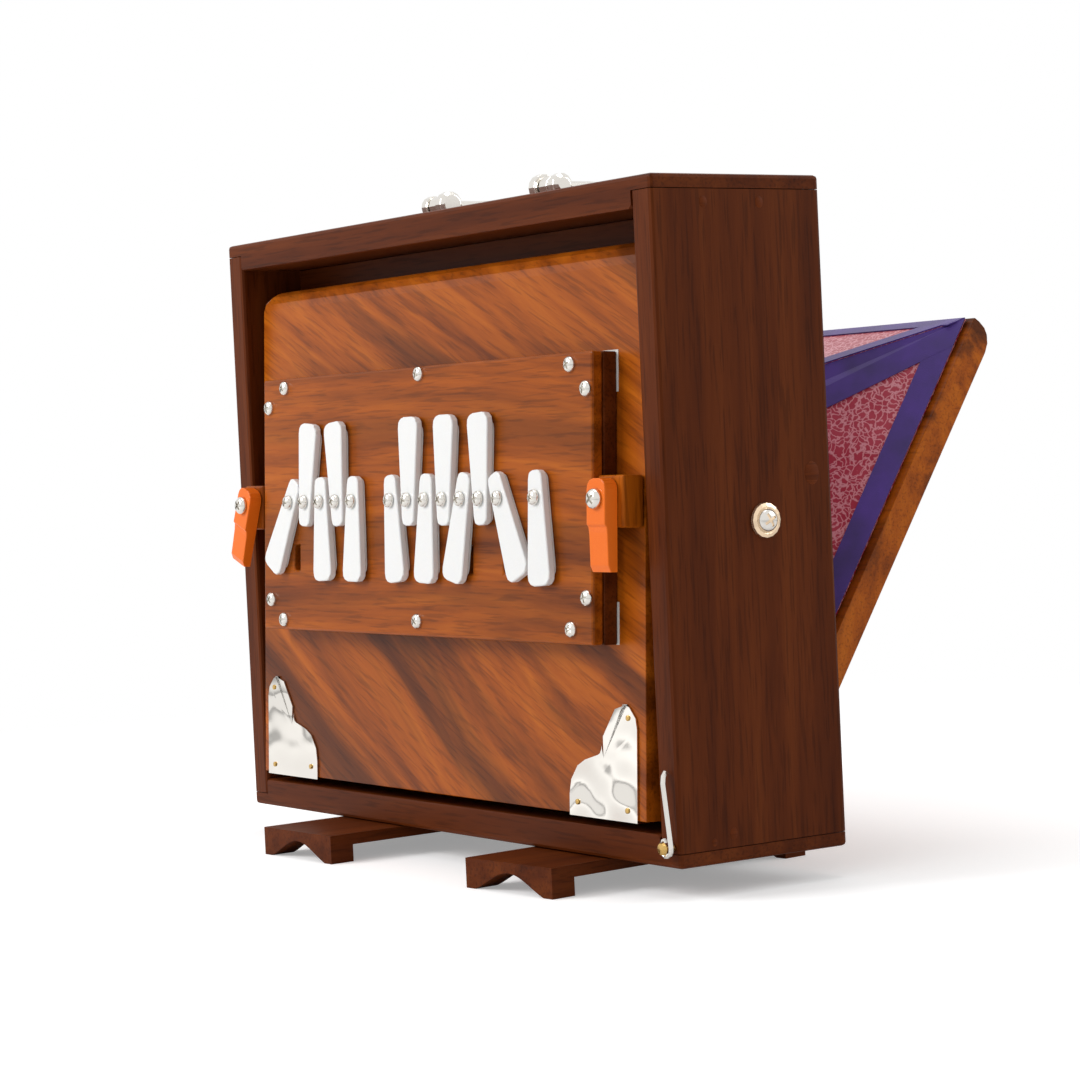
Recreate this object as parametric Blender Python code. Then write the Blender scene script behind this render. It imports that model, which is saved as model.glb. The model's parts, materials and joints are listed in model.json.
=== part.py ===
"""Shruti box: a bellows-blown drone reed organ in a wooden case, built from its separate pieces.

Sizes below are in millimetres and are turned into metres when a mesh is finished. The case is drawn
with its front at y = 0, its underside at z = 0 and the middle of its width at x = 0.
"""
import math

import bmesh
import bpy
from mathutils import Vector

MM = 0.001
GAP = 0.3
SHARP = math.radians(35)

# Case
CASE_WIDTH = 325.0
CASE_HEIGHT = 254.0
CASE_DEPTH = 78.8
BOARD = 12.0
TONGUE = 5.3
EDGE_ROUND = 1.5
INNER_HALF = CASE_WIDTH / 2 - BOARD
DIVIDER_FRONT = 30.0
DIVIDER_BACK = DIVIDER_FRONT + BOARD
# Side screw in its cup washer: radius and height pairs, from the washer's foot to the top of the dome
CUP_PROFILE = [(0, 0), (6.8, 0), (6.5, 0.9), (5.2, 1.5), (4.3, 1.1), (3.9, 2.2), (2.3, 3.0), (0, 3.3)]
CUP_Y = 46.0
CUP_Z = 125.4
PORTS = 5
PORT_RADIUS = 6.0
PORT_PITCH = 22.0
PORT_HEIGHT = 112.0
FLAP_HEIGHT = 26.0
FLAP_THICK = 1.2

# Middle of the whole plan, feet and open feeder included, measured from the case's front
PLAN_CENTRE_Y = 68.17

# Feet
FOOT_HEIGHT = 12.0
FOOT_WIDTH = 52.0
FOOT_LENGTH = 132.0
FOOT_LEG = 11.0
FOOT_SLAB = 4.6
ARCH_HALF = 20.6
ARCH_HEIGHT = 7.7
ARCH_STEPS = 14
FOOT_FRONT = 69.0
FEET = {"left": (-63.1, 32.7, 3.0), "right": (85.4, 39.1, 5.5)}

# Handle on the top
HANDLE_Y = 39.4
HANDLE_Z = 261.2
HANDLE_ARM = 42.0
HANDLE_REACH = 31.6
BAIL_RADIUS = 2.4
BAIL_BORE = 2.2
BARREL_RADIUS = 4.4
BARREL_HALF = 3.6
PIN_RADIUS = 1.8
LUG_RADIUS = 5.6
LUG_THICK = 5.5
POST_FOOT = 2.0
LUG_CHAMFER = 1.4
LUG_NECK = 0.8
LUG_CROWN = 1.6
LUG_CROWN_NECK = 2.6
FOOT_MARGIN = 1.0
BEAD_CHAMFER = 0.8
# The bail's arm in three legs: how far in from the arm's line, and the share of the reach
BAIL_ARM = ((0.0, 0.0), (0.0, 0.6), (2.6, 0.87), (9.0, 1.0))

# Front board of the reservoir, drawn square to itself and leant back
LEAN = 3.0
FRONT_HALF = 146.0
FRONT_HEIGHT = 215.8
FRONT_BOTTOM = 16.5
FRONT_FACE_Y = -2.8
TOP_ROUND = 9.0
FRONT_CORNER = 9.0

# Key box on the front board; distances "out" are measured from the board's face
KEY_BOX_LEFT = -125.2
KEY_BOX_RIGHT = 128.6
KEY_BOX_LOW = 65.0
KEY_BOX_HIGH = 174.6
KEY_BOX_OUT = 11.6
FRAME_OUT = 6.4
FRAME_WALL = 9.0
REED_THICK = 1.2
TONGUE_HALF = 1.5
TONGUE_SLOT = 0.5
TONGUE_LENGTH = 20.0
SLOT_HALF_WIDTH = 2.5
SLOT_HALF_HEIGHT = 5.5
SLOT_REACH = 24.0

# Tabs: where each pivot stands along the row, in steps, and how far each tab hangs turned, in degrees
KEY_PITCH = 13.5
KEY_FIRST_X = -95.5
KEY_LINE = 120.4
KEY_STEPS = (0, 1, 2, 3, 4, 6.3, 7.3, 8.3, 9.3, 10.3, 11.3, 12.3, 14.2)
KEY_TURNS = (-30.0, -4.8, 2.7, 5.4, -1.2, 5.5, 0.0, -2.7, 0.0, -12.9, 3.2, 24.0, 3.9)
UPPER_KEYS = (2, 4, 7, 9, 11)
TAB_HEAD = 10.5
TAB_TAIL = 33.8
TAB_HEAD_HALF = 4.3
TAB_TAIL_HALF = 7.8
TAB_BACK = 12.6
TAB_THICK = 3.0
TAB_EDGE = 0.7
SCREW_HOLE = 1.6
SCREW_SHANK = 1.2
SCREW_HEAD = 3.0
SCREW_DOME = 2.2

# Turn-buttons and their blocks
BUTTON_X = 137.0
BUTTON_LINE = 119.4
BLOCK_INNER = 129.6
BLOCK_LOW = 108.7
BLOCK_HIGH = 128.2
BLOCK_OUT = 10.0
BUTTON_WIDTH = 11.8
BUTTON_HEAD = 7.6
BUTTON_CORNER = 4.0
BUTTON_TAIL = 27.1
BUTTON_STEP = 9.5
BUTTON_THICK = 5.8
BUTTON_TIP_THICK = 4.2
BUTTON_HOLE = 2.1
BUTTON_TURNS = {"left": 20.0, "right": 0.0}

# Corner plates
PLATE_THICK = 0.6
PLATE_WIDE = 44.0
PLATE_TALL = 43.0
PLATE_EDGE_X = 141.5
PLATE_LIP = 7.0

# Hook and its eye
EYE_X = 158.5
EYE_Z = 8.0
EYE_PROFILE = [(0, GAP), (1.5, GAP), (1.5, 4.8), (2.5, 4.8), (2.2, 5.8), (0, 6.2)]
WIRE_RADIUS = 1.0
HOOK_LOOP = 2.9
HOOK_OUT = 3.4
HOOK_LENGTH = 26.0
HOOK_LEAN = -8.0
HOOK_TIP = 2.0

# Feeder board and its bellows
FEEDER_Y = 46.4
FEEDER_OPEN = 33.0
FEEDER_HALF = 148.0
FEEDER_HEIGHT = 224.0
FEEDER_THICK = 11.7
FEEDER_CHAMFER = 8.6
RIB_WIDTH = 80.0
RIB_SHORT = 2.5
RIB_THICK = 0.6
BELLOWS_HALF = 144.0
RESERVOIR_HALF = 136.0
RESERVOIR_LOW = 26.0
RESERVOIR_HIGH = 222.0
RESERVOIR_FOLD = 12.0


def linear(value):
    """One colour channel from 0-255 as a linear value."""
    value = value / 255
    return value / 12.92 if value <= 0.04045 else ((value + 0.055) / 1.055) ** 2.4


def finish_material(name, colour, roughness, metallic=0.0):
    """A plain material from a colour given in 0-255."""
    made = bpy.data.materials.new(name)
    made.use_nodes = True
    shader = made.node_tree.nodes["Principled BSDF"]
    shader.inputs["Base Color"].default_value = [linear(channel) for channel in colour] + [1.0]
    shader.inputs["Roughness"].default_value = roughness
    shader.inputs["Metallic"].default_value = metallic
    return made


def empty_frame(name, place, turn=(0, 0, 0), parent=None):
    """An empty that carries one body, in millimetres and degrees."""
    holder = bpy.data.objects.new(name, None)
    bpy.context.scene.collection.objects.link(holder)
    holder.location = Vector(place) * MM
    holder.rotation_euler = [math.radians(angle) for angle in turn]
    holder.parent = parent
    return holder


def add_object(name, bm, material, parent, place=(0, 0, 0), turn=(0, 0, 0)):
    """The finished piece: the mesh in metres, its faces outwards, held by its body's empty."""
    bmesh.ops.scale(bm, vec=(MM, MM, MM), verts=bm.verts)
    bmesh.ops.recalc_face_normals(bm, faces=bm.faces)
    mesh = bpy.data.meshes.new(name)
    bm.to_mesh(mesh)
    bm.free()
    mesh.shade_smooth()
    mesh.set_sharp_from_angle(angle=SHARP)
    piece = bpy.data.objects.new(name, mesh)
    bpy.context.scene.collection.objects.link(piece)
    mesh.materials.append(material)
    piece.parent = parent
    piece.location = Vector(place) * MM
    piece.rotation_euler = [math.radians(angle) for angle in turn]
    return piece


def soften(piece, width, segments=2):
    """Rounded edges, as a modifier."""
    bevel = piece.modifiers.new("rounded_edges", "BEVEL")
    bevel.width = width * MM
    bevel.segments = segments
    bevel.limit_method = "ANGLE"
    bevel.angle_limit = math.radians(40)


def cut(piece, bm, name, parent, place=(0, 0, 0), turn=(0, 0, 0)):
    """A hollow in a piece, made by a hidden cutter."""
    cutter = add_object(name, bm, piece.data.materials[0], parent, place, turn)
    cutter.hide_render = True
    cutter.display_type = "WIRE"
    hollow = piece.modifiers.new(name, "BOOLEAN")
    hollow.operation = "DIFFERENCE"
    hollow.solver = "EXACT"
    hollow.object = cutter


def block(low, high):
    """A square block between two corners."""
    bm = bmesh.new()
    bmesh.ops.create_cube(bm, size=1)
    low, high = Vector(low), Vector(high)
    bmesh.ops.scale(bm, vec=high - low, verts=bm.verts)
    bmesh.ops.translate(bm, vec=(low + high) / 2, verts=bm.verts)
    return bm


def circle(x, z, radius, steps=8):
    """A round hole's outline."""
    turns = [math.tau * step / steps for step in range(steps)]
    return [(x + radius * math.cos(turn), z + radius * math.sin(turn)) for turn in turns]


def rectangle(left, right, low, high):
    """A rectangle's outline."""
    return [(left, low), (right, low), (right, high), (left, high)]


def rounded(corners, radii, steps=3):
    """An outline whose corners are arcs of the given radii."""
    outline = []
    for index, radius in enumerate(radii):
        corner = Vector(corners[index])
        before = (Vector(corners[index - 1]) - corner).normalized()
        after = (Vector(corners[(index + 1) % len(corners)]) - corner).normalized()
        if not radius:
            outline.append(tuple(corner))
            continue
        half = before.angle(after) / 2
        centre = corner + (before + after).normalized() * radius / math.sin(half)
        start = corner + before * radius / math.tan(half) - centre
        end = corner + after * radius / math.tan(half) - centre
        for step in range(steps + 1):
            spoke = start.lerp(end, step / steps).normalized() * radius
            outline.append(tuple(centre + spoke))
    return outline


def plate(outline, holes, back, front):
    """A flat piece drawn in x and z, with its holes, reaching from y = back to y = front."""
    bm = bmesh.new()
    edges = []
    for loop in [outline] + list(holes):
        corners = [bm.verts.new((x, back, z)) for x, z in loop]
        edges += [bm.edges.new(pair) for pair in zip(corners, corners[1:] + corners[:1])]
    bmesh.ops.triangle_fill(bm, use_beauty=True, edges=edges)
    grown = bmesh.ops.extrude_face_region(bm, geom=bm.faces[:])["geom"]
    moved = [item for item in grown if isinstance(item, bmesh.types.BMVert)]
    bmesh.ops.translate(bm, vec=(0, front - back, 0), verts=moved)
    return bm


def round_open_edges(bm, is_open):
    """Round only the edges that stay open when the board is joined to its neighbours."""
    chosen = [edge for edge in bm.edges if is_open(edge.verts[0].co, edge.verts[1].co)]
    bmesh.ops.bevel(bm, geom=chosen, offset=EDGE_ROUND, segments=2, profile=0.5, affect="EDGES",
                    clamp_overlap=True)
    return bm


def rail(outer, inner, wood, name, root):
    """The case's top or bottom board: its outer part runs over the ends of the sides as a tongue."""
    half = CASE_WIDTH / 2
    across = INNER_HALF - GAP
    step = outer + TONGUE * (1 if inner > outer else -1)
    outline = [(-half, outer), (half, outer), (half, step), (across, step), (across, inner),
               (-across, inner), (-across, step), (-half, step)]

    def is_open(first, second):
        level = abs(first.z - second.z) < MM
        if level and abs(first.z - outer) < MM:
            return True
        if level and abs(first.z - inner) < MM:
            return abs(first.y - second.y) < MM
        return abs(abs(first.x) - half) < MM and abs(first.x - second.x) < MM and not level

    board = round_open_edges(plate(outline, [], CASE_DEPTH, 0), is_open)
    add_object(name, board, wood, root)


def turned(profile, steps=12):
    """A round piece spun about -y from (radius, distance out) pairs."""
    bm = bmesh.new()
    spots = [bm.verts.new((radius, -out, 0)) for radius, out in profile]
    rim = [bm.edges.new(pair) for pair in zip(spots, spots[1:])]
    bmesh.ops.spin(bm, geom=spots + rim, cent=(0, 0, 0), axis=(0, 1, 0), angle=math.tau,
                   steps=steps, use_merge=True)
    bmesh.ops.remove_doubles(bm, verts=bm.verts, dist=MM)
    return bm


def round_top_edge(bm, face_y, height, radius, inward):
    """Round the long top edge of a board over, on the side of its face at y = face_y."""
    for share in (0.0, 0.38, 0.71, 0.92):
        level = height - radius + radius * share
        bmesh.ops.bisect_plane(bm, geom=bm.verts[:] + bm.edges[:] + bm.faces[:], dist=MM,
                               plane_co=(0, 0, level), plane_no=(0, 0, 1))
    for vert in bm.verts:
        rise = vert.co.z - (height - radius)
        if abs(vert.co.y - face_y) < MM and rise > 0:
            drop = radius - math.sqrt(max(radius ** 2 - rise ** 2, 0))
            vert.co.y += inward * drop


def thick_sheet(name, points, faces, material, parent, thickness, place=(0, 0, 0)):
    """A folded sheet, given a thickness by a modifier."""
    bm = bmesh.new()
    corners = [bm.verts.new(point) for point in points]
    for face in faces:
        bm.faces.new([corners[index] for index in face])
    piece = add_object(name, bm, material, parent, place)
    wall = piece.modifiers.new("thickness", "SOLIDIFY")
    wall.thickness = thickness * MM
    wall.offset = 0
    return piece


def make_case(wood, wood_front, steel, root):
    """Four boards, the divider with its ports and valve, and the side screws in their cups."""
    half = CASE_WIDTH / 2
    for side, sign in (("left", -1), ("right", 1)):
        ends = sorted((sign * INNER_HALF, sign * half))
        board = block((ends[0], 0, TONGUE + GAP), (ends[1], CASE_DEPTH, CASE_HEIGHT - TONGUE - GAP))
        round_open_edges(board, lambda first, second: abs(first.z - second.z) > BOARD)
        add_object(f"case_{side}_side", board, wood, root)
        add_object(f"cup_washer_screw_{side}", turned(CUP_PROFILE, 16), steel, root,
                   place=(sign * (half + GAP), CUP_Y, CUP_Z), turn=(0, 0, sign * 90))
    across = INNER_HALF - GAP
    rail(0, BOARD, wood, "case_bottom_board", root)
    rail(CASE_HEIGHT, CASE_HEIGHT - BOARD, wood, "case_top_board", root)
    ports = [circle((step - PORTS // 2) * PORT_PITCH, PORT_HEIGHT, PORT_RADIUS) for step in range(PORTS)]
    outline = rectangle(-across, across, BOARD + GAP, CASE_HEIGHT - BOARD - GAP)
    add_object("divider_board", plate(outline, ports, DIVIDER_BACK, DIVIDER_FRONT), wood_front, root)


def valve_flap(low_y, low_z):
    """A leather strip that covers the row of ports."""
    reach = PORTS * PORT_PITCH / 2
    return block((-reach, low_y, low_z - FLAP_HEIGHT / 2),
                 (reach, low_y + FLAP_THICK, low_z + FLAP_HEIGHT / 2))


def make_feet(wood, root):
    """Two arched benches that swivel under the case, each on one screw."""
    arch = []
    for step in range(ARCH_STEPS + 1):
        share = 1 - 2 * step / ARCH_STEPS
        bell = (1 + math.cos(math.pi * share)) / 2
        arch.append((ARCH_HALF * share, ARCH_HEIGHT * (bell + 1 - share ** 2) / 2))
    half = FOOT_WIDTH / 2
    outline = arch + [(-half, 0), (-half, FOOT_HEIGHT - GAP), (half, FOOT_HEIGHT - GAP), (half, 0)]
    for side, (x, y, yaw) in FEET.items():
        holder = empty_frame(f"foot_{side}_pivot", (x, y, -FOOT_HEIGHT), (0, 0, yaw), root)
        body = plate(outline, [], FOOT_LENGTH - FOOT_FRONT, -FOOT_FRONT)
        foot = add_object(f"foot_{side}", body, wood, holder)
        relief = block((-FOOT_WIDTH, FOOT_LEG - FOOT_FRONT, -FOOT_HEIGHT),
                       (FOOT_WIDTH, FOOT_LENGTH - FOOT_FRONT - FOOT_LEG, FOOT_HEIGHT - GAP - FOOT_SLAB))
        cut(foot, relief, f"foot_{side}_relief", holder)


def make_handle(nickel, root):
    """Two posts, each a pair of lugs with a pin, and the bail that swings on the pins."""
    lug_gap = BARREL_HALF + 2 * GAP
    holder = empty_frame("handle_axis", (0, HANDLE_Y, HANDLE_Z), parent=root)
    for side, sign in (("left", -1), ("right", 1)):
        edge = lug_gap + LUG_THICK
        neck = LUG_RADIUS - LUG_NECK
        profile = [(0, -edge), (LUG_RADIUS - LUG_CHAMFER, -edge), (LUG_RADIUS, -edge + LUG_CHAMFER),
                   (LUG_RADIUS, -lug_gap), (PIN_RADIUS, -lug_gap), (PIN_RADIUS, lug_gap),
                   (neck, lug_gap), (neck, edge - LUG_CROWN), (LUG_RADIUS - LUG_CROWN_NECK, edge),
                   (0, edge)]
        post = add_object(f"handle_post_{side}", turned(profile, 14), nickel, root,
                          place=(sign * HANDLE_ARM, HANDLE_Y, HANDLE_Z), turn=(0, 0, sign * 90))
        foot = block((-edge, -LUG_RADIUS - FOOT_MARGIN, CASE_HEIGHT - HANDLE_Z + GAP),
                     (edge, LUG_RADIUS + FOOT_MARGIN, CASE_HEIGHT - HANDLE_Z + POST_FOOT))
        base = add_object(f"handle_post_{side}_foot", foot, nickel, root,
                          place=(sign * HANDLE_ARM, HANDLE_Y, HANDLE_Z))
        base.hide_render = True
        base.display_type = "WIRE"
        joined = post.modifiers.new("foot", "BOOLEAN")
        joined.operation = "UNION"
        joined.solver = "EXACT"
        joined.object = base
    bm = bmesh.new()
    route = [(inward - HANDLE_ARM, HANDLE_REACH * share) for inward, share in BAIL_ARM]
    route += [(-x, y) for x, y in reversed(route)]
    rings = []
    for index, (x, y) in enumerate(route):
        before = Vector(route[max(index - 1, 0)])
        after = Vector(route[min(index + 1, len(route) - 1)])
        ahead = (after - before).normalized()
        ring = []
        for step in range(8):
            turn = math.tau * step / 8
            side = BAIL_RADIUS * math.cos(turn)
            ring.append(bm.verts.new((x + ahead.y * side, y - ahead.x * side, BAIL_RADIUS * math.sin(turn))))
        rings.append(ring)
    for first, second in zip(rings, rings[1:]):
        for step in range(8):
            bm.faces.new((first[step], first[step - 1], second[step - 1], second[step]))
    bm.faces.new(rings[0])
    bm.faces.new(rings[-1])
    bail = add_object("handle_bail", bm, nickel, holder)
    for side, sign in (("left", -1), ("right", 1)):
        brow, shoulder = BARREL_RADIUS - BEAD_CHAMFER, BARREL_HALF - BEAD_CHAMFER
        beads = [(0, -BARREL_HALF), (brow, -BARREL_HALF), (BARREL_RADIUS, -shoulder),
                 (BARREL_RADIUS, shoulder), (brow, BARREL_HALF), (0, BARREL_HALF)]
        barrel = add_object(f"bail_barrel_{side}", turned(beads, 12), nickel, holder,
                            place=(sign * HANDLE_ARM, 0, 0), turn=(0, 0, 90))
        barrel.hide_render = True
        barrel.display_type = "WIRE"
        joined = bail.modifiers.new(f"barrel_{side}", "BOOLEAN")
        joined.operation = "UNION"
        joined.solver = "EXACT"
        joined.object = barrel
    for side, sign in (("left", -1), ("right", 1)):
        reach = BARREL_HALF * 2
        bore = turned([(0, -reach), (BAIL_BORE, -reach), (BAIL_BORE, reach), (0, reach)], 12)
        cut(bail, bore, f"bail_bore_{side}", holder, place=(sign * HANDLE_ARM, 0, 0), turn=(0, 0, 90))


def make_hook(nickel, brass, root):
    """A wire hook that swings on a headed brass eye in the right stile."""
    pin = turned(EYE_PROFILE, 10)
    add_object("hook_eye", pin, brass, root, place=(EYE_X, 0, EYE_Z))
    curve = bpy.data.curves.new("hook", "CURVE")
    curve.dimensions = "3D"
    curve.bevel_depth = WIRE_RADIUS * MM
    curve.bevel_resolution = 1
    curve.use_fill_caps = True
    loop = [(HOOK_LOOP * math.cos(math.radians(turn)), 0, HOOK_LOOP * math.sin(math.radians(turn)))
            for turn in range(-270, 1, 27)]
    shank = [(HOOK_LOOP, 0, HOOK_LENGTH * share) for share in (0.4, 0.9)]
    tip = [(HOOK_LOOP, 0.3 * HOOK_TIP, HOOK_LENGTH), (HOOK_LOOP, HOOK_TIP, HOOK_LENGTH + 1.6)]
    points = loop + shank + tip
    spline = curve.splines.new("POLY")
    spline.points.add(len(points) - 1)
    for spot, point in zip(spline.points, points):
        spot.co = (*(Vector(point) * MM), 1)
    hook = bpy.data.objects.new("hook", curve)
    bpy.context.scene.collection.objects.link(hook)
    curve.materials.append(nickel)
    hook.parent = root
    hook.location = Vector((EYE_X, -HOOK_OUT, EYE_Z)) * MM
    hook.rotation_euler = (0, math.radians(HOOK_LEAN), 0)


def make_reservoir(wood, nickel, holder):
    """The leaning front board with its window, and the nickel plates on its bottom corners."""
    corners = rectangle(-FRONT_HALF, FRONT_HALF, 0, FRONT_HEIGHT)
    outline = rounded(corners, (0, 0, FRONT_CORNER, FRONT_CORNER))
    window = rectangle(KEY_BOX_LEFT + 15, KEY_BOX_RIGHT - 15, KEY_BOX_LOW + 15, KEY_BOX_HIGH - 15)
    bm = plate(outline, [window], 0, -BOARD)
    round_top_edge(bm, -BOARD, FRONT_HEIGHT, TOP_ROUND, 1)
    add_object("reservoir_board", bm, wood, holder)
    for side, sign in (("left", -1), ("right", 1)):
        left_edge = PLATE_EDGE_X - PLATE_WIDE
        lobe = rounded([(PLATE_EDGE_X, -PLATE_THICK), (PLATE_EDGE_X, PLATE_TALL),
                        (left_edge + 16, PLATE_TALL), (left_edge + 22, PLATE_TALL - 19),
                        (left_edge, PLATE_TALL - 25), (left_edge, -PLATE_THICK)],
                       (0, 9, 16, 3, 14, 0))
        front = -BOARD - GAP - PLATE_THICK / 2
        points = [(sign * x, front, z) for x, z in lobe]
        lip = [(sign * PLATE_EDGE_X, front + PLATE_LIP, -PLATE_THICK),
               (sign * left_edge, front + PLATE_LIP, -PLATE_THICK)]
        count = len(points)
        thick_sheet(f"corner_plate_{side}", points + lip,
                    [tuple(range(count)), (count - 1, 0, count, count + 1)], nickel, holder, PLATE_THICK)


def make_key_box(wood, brass, holder):
    """The frame, the face with its air slots, and the reed plate with its tongues."""
    outline = rectangle(KEY_BOX_LEFT, KEY_BOX_RIGHT, KEY_BOX_LOW, KEY_BOX_HIGH)
    inside = rectangle(KEY_BOX_LEFT + FRAME_WALL, KEY_BOX_RIGHT - FRAME_WALL,
                       KEY_BOX_LOW + FRAME_WALL, KEY_BOX_HIGH - FRAME_WALL)
    bm = plate(outline, [inside], -BOARD - GAP, -BOARD - FRAME_OUT)
    add_object("key_box_frame", bm, wood, holder)
    slots, holes, tongues = [], [], []
    for number, step in enumerate(KEY_STEPS, start=1):
        x = KEY_FIRST_X + KEY_PITCH * step
        z = KEY_LINE + (SLOT_REACH if number in UPPER_KEYS else -SLOT_REACH)
        slots.append(rectangle(x - SLOT_HALF_WIDTH, x + SLOT_HALF_WIDTH,
                               z - SLOT_HALF_HEIGHT, z + SLOT_HALF_HEIGHT))
        holes.append(circle(x, KEY_LINE, SCREW_HOLE, 6))
        wide = TONGUE_HALF + TONGUE_SLOT
        low, high = z - TONGUE_LENGTH / 2, z + TONGUE_LENGTH / 2
        tongues.append([(x - wide, low), (x + wide, low), (x + wide, high), (x + TONGUE_HALF, high),
                        (x + TONGUE_HALF, low + TONGUE_SLOT), (x - TONGUE_HALF, low + TONGUE_SLOT),
                        (x - TONGUE_HALF, high), (x - wide, high)])
    face = plate(outline, slots + holes, -BOARD - FRAME_OUT - GAP, -BOARD - KEY_BOX_OUT)
    add_object("key_box_face", face, wood, holder)
    margin = FRAME_WALL + 2
    bed = rectangle(KEY_BOX_LEFT + margin, KEY_BOX_RIGHT - margin, KEY_BOX_LOW + margin, KEY_BOX_HIGH - margin)
    reeds = plate(bed, tongues, -BOARD - FRAME_OUT + REED_THICK, -BOARD - FRAME_OUT)
    add_object("reed_plate", reeds, brass, holder)


def pan_screw(out, depth, shank, head, dome):
    """A screw with a domed head whose underside stands at the given distance out."""
    return turned([(0, out - depth), (shank, out - depth), (shank, out), (head, out), (head, out + dome * 0.3),
                   (head * 0.8, out + dome * 0.75), (head * 0.4, out + dome * 0.97), (0, out + dome)], 10)


def make_keys(plastic, steel, holder):
    """Thirteen tabs, each held by a screw and turned as it was left."""
    outline = rounded([(-TAB_TAIL_HALF, -TAB_TAIL), (TAB_TAIL_HALF, -TAB_TAIL),
                       (TAB_HEAD_HALF, TAB_HEAD), (-TAB_HEAD_HALF, TAB_HEAD)], (4.2, 4.2, 3.2, 3.2))
    for number, (step, turn) in enumerate(zip(KEY_STEPS, KEY_TURNS), start=1):
        x = KEY_FIRST_X + KEY_PITCH * step
        flip = -1 if number in UPPER_KEYS else 1
        shape = [(px * flip, pz * flip) for px, pz in outline]
        tab = plate(shape, [circle(0, 0, SCREW_HOLE, 8)], 0, -TAB_THICK)
        piece = add_object(f"key_tab_{number:02d}", tab, plastic, holder,
                           place=(x, -BOARD - TAB_BACK, KEY_LINE), turn=(0, -turn, 0))
        soften(piece, TAB_EDGE, 1)
        out = TAB_BACK + TAB_THICK + GAP
        screw = pan_screw(out, out - FRAME_OUT - 2 * GAP, SCREW_SHANK, SCREW_HEAD, SCREW_DOME)
        add_object(f"key_screw_{number:02d}", screw, steel, holder, place=(x, -BOARD, KEY_LINE))


def make_turn_buttons(wood, orange, steel, holder):
    """A block, a lever and a screw at each side of the key box."""
    shape = [(0, -BUTTON_TAIL), (BUTTON_TIP_THICK - 1.2, -BUTTON_TAIL), (BUTTON_TIP_THICK, -BUTTON_TAIL + 2.5),
             (BUTTON_THICK - 1.1, -BUTTON_STEP - 3), (BUTTON_THICK - 0.8, -BUTTON_STEP - 1),
             (BUTTON_THICK, -BUTTON_STEP), (BUTTON_THICK, BUTTON_HEAD), (0, BUTTON_HEAD)]
    half = BUTTON_WIDTH / 2
    for side, sign in (("left", -1), ("right", 1)):
        x = sign * BUTTON_X
        ends = sorted((sign * BLOCK_INNER, sign * FRONT_HALF))
        hole = circle(x, BUTTON_LINE, BUTTON_HOLE - 0.3, 8)
        base = plate(rectangle(ends[0], ends[1], BLOCK_LOW, BLOCK_HIGH), [hole], -BOARD - GAP, -BOARD - BLOCK_OUT)
        soften(add_object(f"latch_block_{side}", base, wood, holder), 0.8, 1)
        place = (x, -BOARD - BLOCK_OUT - GAP, BUTTON_LINE)
        turn = (0, sign * -BUTTON_TURNS[side], 0)
        bm = bmesh.new()
        corners = [bm.verts.new((-half, -out, z)) for out, z in shape]
        bm.faces.new(corners)
        grown = bmesh.ops.extrude_face_region(bm, geom=bm.faces[:])["geom"]
        bmesh.ops.translate(bm, vec=(BUTTON_WIDTH, 0, 0),
                            verts=[item for item in grown if isinstance(item, bmesh.types.BMVert)])
        bmesh.ops.bevel(bm, geom=[edge for edge in bm.edges
                                  if all(vert.co.z > BUTTON_HEAD - MM for vert in edge.verts)
                                  and edge.verts[0].co.x == edge.verts[1].co.x],
                        offset=BUTTON_CORNER, segments=3, affect="EDGES", profile=0.5, material=-1)
        lever = add_object(f"turn_button_{side}", bm, orange, holder, place=place, turn=turn)
        bore = turned([(0, -BUTTON_THICK), (BUTTON_HOLE, -BUTTON_THICK),
                       (BUTTON_HOLE, 2 * BUTTON_THICK), (0, 2 * BUTTON_THICK)], 10)
        cut(lever, bore, f"turn_button_{side}_hole", holder, place=place)
        out = BLOCK_OUT + BUTTON_THICK + 2 * GAP
        screw = pan_screw(out, BUTTON_THICK + 6.0, BUTTON_HOLE - 0.6, 3.9, 2.6)
        add_object(f"turn_button_screw_{side}", screw, steel, holder, place=(x, -BOARD, BUTTON_LINE))


def make_feeder(wood, leather, holder):
    """The back board, drawn closed; its holder leans it open."""
    outline = rectangle(-FEEDER_HALF, FEEDER_HALF, GAP * 2, FEEDER_HEIGHT)
    ports = [circle((step - PORTS // 2) * PORT_PITCH, PORT_HEIGHT, PORT_RADIUS) for step in range(PORTS)]
    bm = plate(outline, ports, 0, FEEDER_THICK)
    for vert in bm.verts:
        if vert.co.y > MM and vert.co.z < BOARD / 2:
            vert.co.z = FEEDER_CHAMFER
    round_top_edge(bm, FEEDER_THICK, FEEDER_HEIGHT, TOP_ROUND, -1)
    add_object("feeder_board", bm, wood, holder)
    add_object("intake_valve_flap", valve_flap(-GAP - FLAP_THICK, PORT_HEIGHT), leather, holder)


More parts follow.
